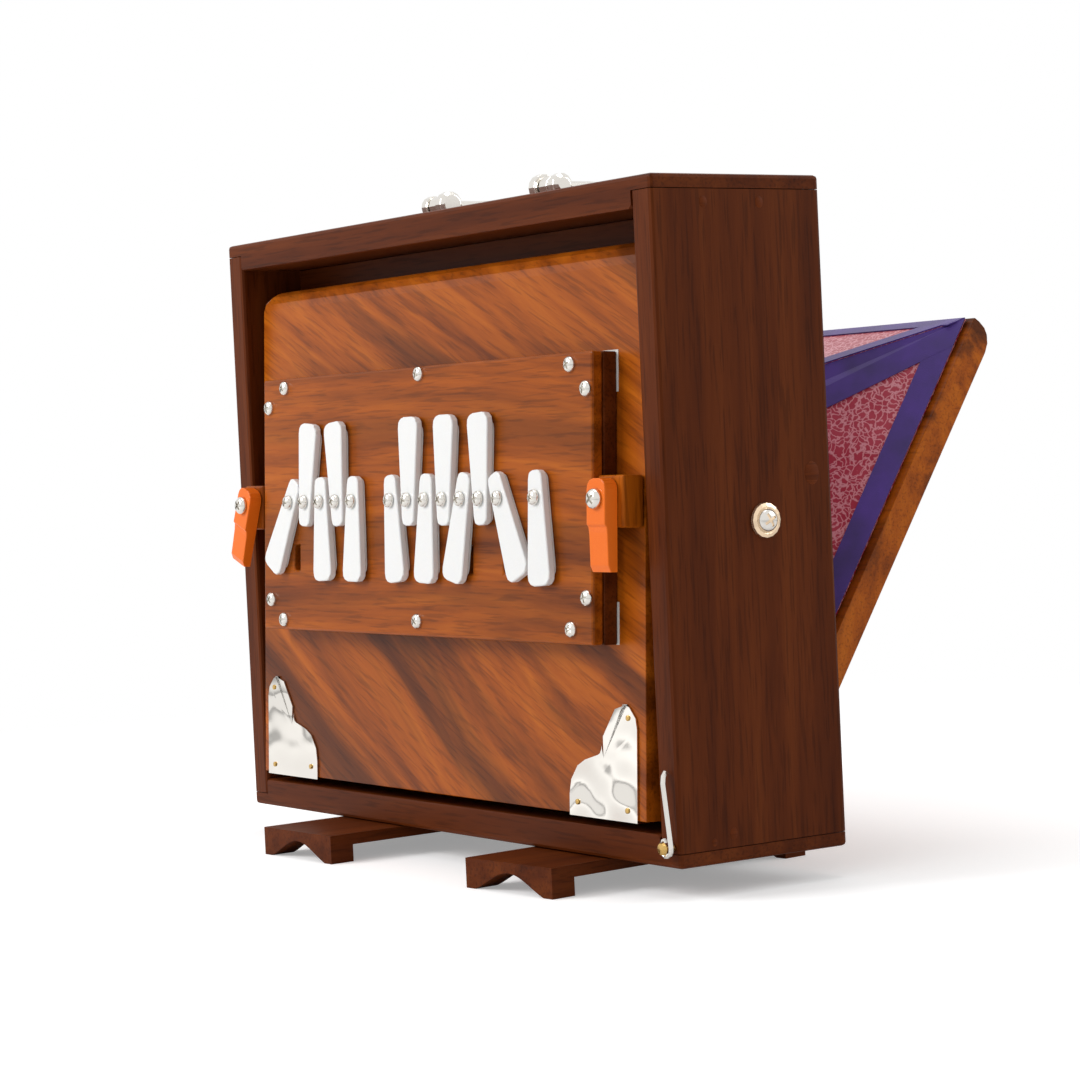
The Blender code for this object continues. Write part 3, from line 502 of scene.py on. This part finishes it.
# The top tape's ends are cut towards a point over the middle, this far along the corners.
APEX_REACH = 400.0
# Tapes that cross lie at different heights, so that no two of them share a plane.
EDGE_LIFT, MITRE_LIFT, FOLD_LIFT = 0.05, 0.1, 0.15
feeder_hinge = Vector(joints["feeder_swing"]["pos_m"])

crackle, tree, shader = new_material("crackle_paper", roughness=0.42, coat=0.1)
paper_place = object_place(tree)
waver = noise(tree, paper_place, Scale=130.0, Detail=3.0)
bent = mix_colours(tree, "LINEAR_LIGHT", 0.006, paper_place, waver["Color"])
cells = add_node(tree, "ShaderNodeTexVoronoi", feature="DISTANCE_TO_EDGE", Vector=bent, Scale=330.0)
veins = ramp(tree, cells.outputs["Distance"], (0.035, (0.74, 0.33, 0.37)), (0.13, (0.40, 0.010, 0.036)))
patches = mottled(tree, scale=45.0, detail=4.0, dark=(0.34, 0.010, 0.040), light=(0.62, 0.12, 0.17),
                  start=0.42, end=0.66)
tree.links.new(mix_colours(tree, "MIX", 0.25, veins, patches), shader.inputs["Base Color"])

purple, tree, shader = new_material("purple_cloth", roughness=0.72)
shader.inputs["Sheen Weight"].default_value = 0.35
fade = mottled(tree, scale=70.0, detail=4.0, dark=(0.032, 0.008, 0.130), light=(0.062, 0.016, 0.240),
               start=0.3, end=0.7)
tree.links.new(fade, shader.inputs["Base Color"])
weave = noise(tree, object_place(tree), Scale=2500.0, Detail=2.0)
add_bump(tree, shader, weave["Fac"], strength=0.3, distance=0.0002)


def flat_piece(bm, corners, thickness, lift, outside):
    """A thin flat piece on the given corners, lifted off its plane towards the outside."""
    across = (corners[1] - corners[0]).cross(corners[-1] - corners[0]).normalized()
    if across.dot(outside) < 0:
        across.negate()
    face = bm.faces.new([bm.verts.new((corner + across * lift) * MM) for corner in corners])
    raised = bmesh.ops.extrude_face_region(bm, geom=[face])["geom"]
    top = [part for part in raised if isinstance(part, bmesh.types.BMVert)]
    bmesh.ops.translate(bm, vec=across * thickness * MM, verts=top)


def tape_strip(bm, start, end, into, width, lift, outside):
    """Tape along an edge, as wide into the panel as its width and cut to the panel's corners."""
    along = (end - start).normalized()
    inward = (into - start) - along * (into - start).dot(along)
    inward = inward.normalized() * width
    first = along * (width / math.tan(along.angle(into - start)))
    last = along * (width / math.tan(along.angle(end - into)))
    flat_piece(bm, [start, end, end + inward - last, start + inward + first], CLOTH, lift, outside)


# The ribs' lean from their own board brings the folds of both halves together in the middle.
half_open = OPEN / 2
top_lean = math.asin(HEIGHT * math.sin(half_open) / RIB) - half_open
side_lean = math.asin(math.tan(half_open) / (RIB / (HEIGHT - RIB)))
reach = RIB - FOLD_GAP
for name, away, body, turn in (("front", 1, "root", 0.0), ("rear", -1, "feeder", -OPEN)):
    card, cloth = bmesh.new(), bmesh.new()
    corners, folds = {}, {}
    for sign in (-1, 1):
        foot = Vector((sign * HALF, away * RIB_OUT, RIB_FOOT))
        corner = Vector((sign * HALF, away * RIB_OUT, HEIGHT))
        side_fold = Vector((sign * (HALF - reach * math.cos(side_lean)),
                            away * (RIB_OUT + reach * math.sin(side_lean)), HEIGHT - RIB))
        top_fold = Vector((sign * (HALF - reach), away * (RIB_OUT + reach * math.sin(top_lean)),
                           HEIGHT - reach * math.cos(top_lean)))
        corners[sign], folds[sign] = corner, top_fold
        outside = Vector((sign, 0, 0))
        flat_piece(card, [foot, corner, side_fold], CARD, -CARD, outside)
        tape_strip(cloth, foot, corner, side_fold, TAPE, EDGE_LIFT, outside)
        tape_strip(cloth, corner, side_fold, foot, MITRE_TAPE, MITRE_LIFT, outside)
        tape_strip(cloth, foot, side_fold, corner, FOLD_TAPE, FOLD_LIFT, outside)
        middle = (side_fold + top_fold) / 2 - Vector((sign * GUSSET_IN, 0, GUSSET_DROP))
        for gusset in ([corner, side_fold, middle], [corner, middle, top_fold]):
            flat_piece(cloth, gusset, CLOTH, -GUSSET_SINK, Vector((sign, 0, 1)))
    outside = Vector((0, 0, 1))
    flat_piece(card, [corners[-1], corners[1], folds[1], folds[-1]], CARD, -CARD, outside)
    apex = corners[-1] + (folds[-1] - corners[-1]).normalized() * APEX_REACH
    apex.x = 0
    tape_strip(cloth, corners[-1], corners[1], apex, TOP_TAPE, EDGE_LIFT, outside)
    edge_middle = (corners[-1] + corners[1]) / 2
    tape_strip(cloth, folds[-1], folds[1], edge_middle, FOLD_TAPE, FOLD_LIFT, outside)
    for sign in (-1, 1):
        tape_strip(cloth, corners[sign], folds[sign], folds[-sign], MITRE_TAPE, MITRE_LIFT, outside)
    place = Matrix.Translation(feeder_hinge) @ Matrix.Rotation(turn, 4, "X")
    ribs = settle(f"bellows_ribs_{name}", card, crackle, body, place)
    tapes = settle(f"bellows_tape_{name}", cloth, purple, body, place)
    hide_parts(f"feeder_bellows_{name}")
    for piece in (ribs, tapes):
        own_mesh(piece)

# A wooden strip covered in the purple cloth lines the case behind the divider, along its top and
# both sides, and the front ribs are glued to it.
STRIP_BACK, STRIP_FRONT = -3.9, -0.5
STRIP_FOOT, STRIP_TOP, STRIP_UNDER = 0.8, 229.0, 223.5
STRIP_INNER, STRIP_OUTER, STRIP_TOP_HALF = 144.2, 149.8, 144.0
strip = bmesh.new()
add_block(strip, (-STRIP_OUTER, STRIP_BACK, STRIP_FOOT), (-STRIP_INNER, STRIP_FRONT, STRIP_TOP))
add_block(strip, (STRIP_INNER, STRIP_BACK, STRIP_FOOT), (STRIP_OUTER, STRIP_FRONT, STRIP_TOP))
add_block(strip, (-STRIP_TOP_HALF, STRIP_BACK, STRIP_UNDER), (STRIP_TOP_HALF, STRIP_FRONT, STRIP_TOP))
settle("bellows_strip", strip, purple, "root", Matrix.Translation(feeder_hinge))

# The reservoir bellows are a folded ring of the same paper between the divider and the front board.
# A bent steel spring inside them presses the board home. Both are out of sight while it is closed.
BOARD_GAP, DIVIDER_GAP, PAPER = 0.9, 0.5, 0.4
# How far each ring of corners is tucked in, in mm, and its share of the way to the divider.
FOLD_RINGS = ((0.0, 0.0), (6.0, 0.25), (0.0, 0.5), (6.0, 0.75), (0.0, 1.0))
low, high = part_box("reservoir_bellows")
divider_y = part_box("divider_board")[0].y
fold = bmesh.new()
rings = []
for inset, share in FOLD_RINGS:
    corners = []
    for x, z, sideways, upwards in ((low.x, low.z, 1, 1), (high.x, low.z, -1, 1), (high.x, high.z, -1, -1),
                                    (low.x, high.z, 1, -1)):
        start = hinge.y + (z - hinge.z) * math.tan(lean) + BOARD_GAP * MM
        y = start + (divider_y - DIVIDER_GAP * MM - start) * share
        corners.append(fold.verts.new((x + sideways * inset * MM, y, z + upwards * inset * MM)))
    rings.append([fold.edges.new((corners[number - 1], corners[number])) for number in range(4)])
for first, second in zip(rings, rings[1:]):
    bmesh.ops.bridge_loops(fold, edges=first + second)
bmesh.ops.recalc_face_normals(fold, faces=fold.faces)
bmesh.ops.solidify(fold, geom=fold.faces[:], thickness=PAPER * MM)
reservoir_cloth = settle("reservoir_folds", fold, crackle, None)
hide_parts("reservoir_bellows")
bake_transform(reservoir_cloth)
dress("reservoir_spring", nickel)

# The floor is a wide sheet of plain white paper. The box's soft shadow lies on it near by, and
# further off the camera sees it fade to pure white. Its half width and its fade are in metres.
FLOOR_HALF = 6.0
FADE_START, FADE_END = 0.25, 0.75
WHITE = (1.0, 1.0, 1.0, 1.0)
floor_grid = bmesh.new()
bmesh.ops.create_grid(floor_grid, x_segments=2, y_segments=2, size=FLOOR_HALF)
floor = new_object("floor", floor_grid)


def mix_shaders(tree, share, first, second):
    """The first shader where the share is 0, and the second where it is 1."""
    made = add_node(tree, "ShaderNodeMixShader", Fac=share)
    tree.links.new(first, made.inputs[1])
    tree.links.new(second, made.inputs[2])
    return made.outputs["Shader"]


floor_paper, tree, shader = new_material("floor_paper", roughness=0.9)
shader.inputs["Base Color"].default_value = (0.86, 0.86, 0.86, 1)
shader.inputs["Specular IOR Level"].default_value = 0.0
lit = shader.outputs["BSDF"]
glow = add_node(tree, "ShaderNodeEmission", Color=WHITE, Strength=0.30)
glowing = add_node(tree, "ShaderNodeAddShader")
tree.links.new(lit, glowing.inputs[0])
tree.links.new(glow.outputs["Emission"], glowing.inputs[1])
distance = add_node(tree, "ShaderNodeVectorMath", operation="LENGTH", Vector=object_place(tree))
far = add_node(tree, "ShaderNodeMapRange", Value=distance.outputs["Value"])
far.inputs["From Min"].default_value = FADE_START
far.inputs["From Max"].default_value = FADE_END
white = add_node(tree, "ShaderNodeEmission", Color=WHITE, Strength=1.0)
faded = mix_shaders(tree, far.outputs["Result"], glowing.outputs["Shader"], white.outputs["Emission"])
for_camera = add_node(tree, "ShaderNodeLightPath").outputs["Is Camera Ray"]
tree.links.new(mix_shaders(tree, for_camera, lit, faded), tree.nodes["Material Output"].inputs["Surface"])
floor.data.materials.append(floor_paper)

# The room is an even white dome. It lights the box softly, and shows at full white behind it and
# in its bright metal.
scene = bpy.context.scene
scene.view_settings.view_transform = "Standard"
scene.world = bpy.data.worlds.new("studio")
scene.world.use_nodes = True
tree = scene.world.node_tree
dome = tree.nodes["Background"]
dome.inputs["Color"].default_value = WHITE
dome.inputs["Strength"].default_value = 0.55
bright = add_node(tree, "ShaderNodeBackground", Color=WHITE, Strength=1.0)
rays = add_node(tree, "ShaderNodeLightPath").outputs
seen = rays["Is Camera Ray"]
for kind in ("Is Glossy Ray", "Is Transmission Ray"):
    either = add_node(tree, "ShaderNodeMath", operation="MAXIMUM")
    tree.links.new(seen, either.inputs[0])
    tree.links.new(rays[kind], either.inputs[1])
    seen = either.outputs[0]
room = mix_shaders(tree, seen, dome.outputs["Background"], bright.outputs["Background"])
tree.links.new(room, tree.nodes["World Output"].inputs["Surface"])

# Three soft square lamps face the box: a strong one at the front left, one overhead and one behind.
# Each has its place and its width in metres, and its power in watts.
LAMPS = (("key_lamp", (-0.7, -1.5, 1.1), 0.9, 22.0), ("top_lamp", (-0.1, 0.1, 1.7), 1.0, 9.0),
         ("back_lamp", (0.9, 1.3, 0.9), 0.8, 6.0))
LAMP_TARGET = Vector((0, 0, 0.12))
for name, spot, size, power in LAMPS:
    lamp = bpy.data.lights.new(name, "AREA")
    lamp.size = size
    lamp.energy = power
    holder = bpy.data.objects.new(name, lamp)
    holder.location = spot
    holder.rotation_euler = (LAMP_TARGET - Vector(spot)).to_track_quat("-Z", "Y").to_euler()
    scene.collection.objects.link(holder)

# The camera has a long lens and stands at the front right, low and level with the box. Its place,
# turn and focal length were solved from the case's corners in the photograph.
FOCUS_PIXELS, FRAME_PIXELS, SENSOR = 2917.87, 1080.0, 36.0
CAMERA_FROM_CASE = Vector((1016.5, -629.0, 157.1))
RIGHT = Vector((0.5584, 0.8282, -0.0471))
UP = Vector((-0.0005, 0.0571, 0.9984))
FORWARD = Vector((-0.8296, 0.5574, -0.0323))
view = bpy.data.cameras.new("camera")
view.sensor_width = SENSOR
view.lens = FOCUS_PIXELS / FRAME_PIXELS * SENSOR
camera = bpy.data.objects.new("camera", view)
scene.collection.objects.link(camera)
axes = Matrix((RIGHT, UP, -FORWARD)).transposed().to_4x4()
camera.matrix_world = Matrix.Translation(Vector((0, case_y, case_z)) + CAMERA_FROM_CASE * MM) @ axes
scene.camera = camera
